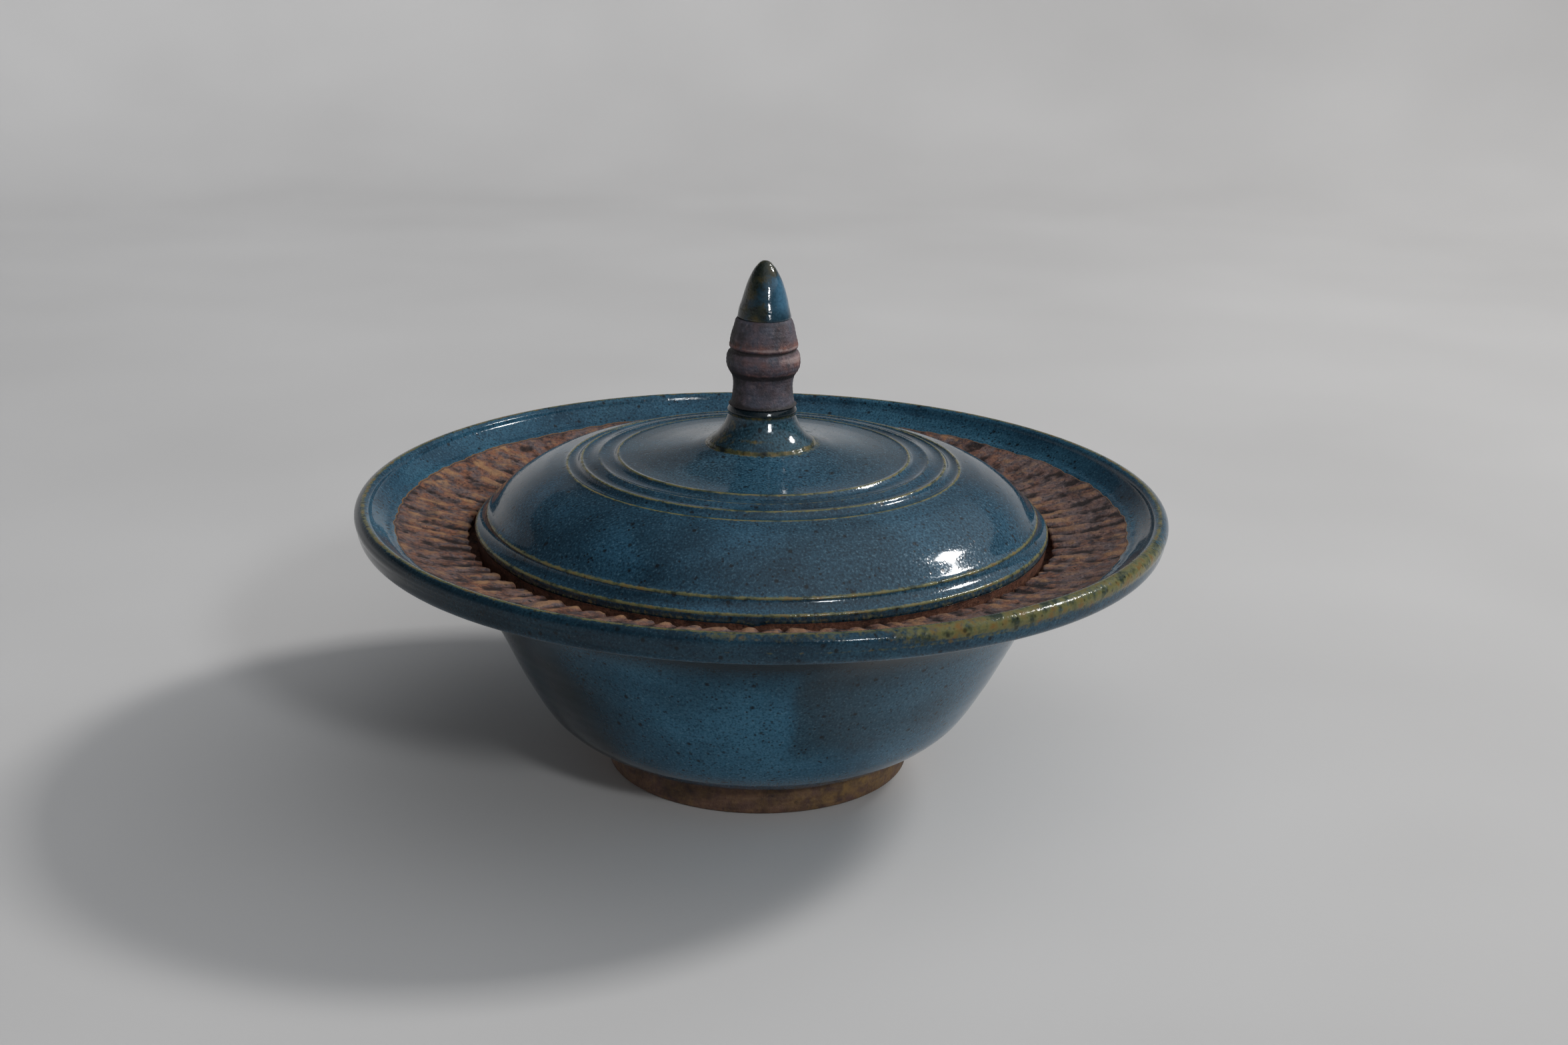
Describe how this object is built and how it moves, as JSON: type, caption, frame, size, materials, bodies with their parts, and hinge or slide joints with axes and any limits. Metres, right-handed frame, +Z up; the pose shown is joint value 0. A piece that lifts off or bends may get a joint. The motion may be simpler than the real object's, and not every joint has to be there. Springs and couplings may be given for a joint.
{
  "type": "yarn bowl",
  "caption": "Footed stoneware bowl with a wide dished brim and a fluted bare-clay band, closed by a drop-in domed lid with a tall turned finial; the lid lifts off.",
  "frame": {"origin": "centre of the foot's bottom, on the table", "axes": "+Z up along the axis that the bowl was thrown about, through the finial; the bowl is round, so X and Y are any two level directions"},
  "size_m": [0.2808, 0.2808, 0.1801],
  "materials": {
    "blue_glaze": "glossy teal-blue glaze with fine dark iron specks, breaking to olive on ridges and edges",
    "dark_glaze": "glossy dark teal glaze, olive on one side and bright blue on the other",
    "bare_brim_clay": "unglazed clay combed into fine radial flutes, rust and purple-grey, with a glazed blue lip round it",
    "bare_foot_clay": "smooth unglazed brown clay with a golden wash and dark specks",
    "bare_stem_clay": "matte purple-grey unglazed clay, rust-coloured on the bead's edges"
  },
  "bodies": {
    "bowl": {"bowl_body": "blue_glaze", "foot_ring": "bare_foot_clay", "brim": "bare_brim_clay"},
    "lid": {"lid_dome": "blue_glaze", "finial_collar": "blue_glaze", "finial_stem": "bare_stem_clay", "finial_tip": "dark_glaze"}
  },
  "joints": [
    {"name": "lid_lift", "type": "slide", "parent": "bowl", "child": "lid", "axis": [0, 0, 1], "range_m": [0, 0.09]}
  ]
}
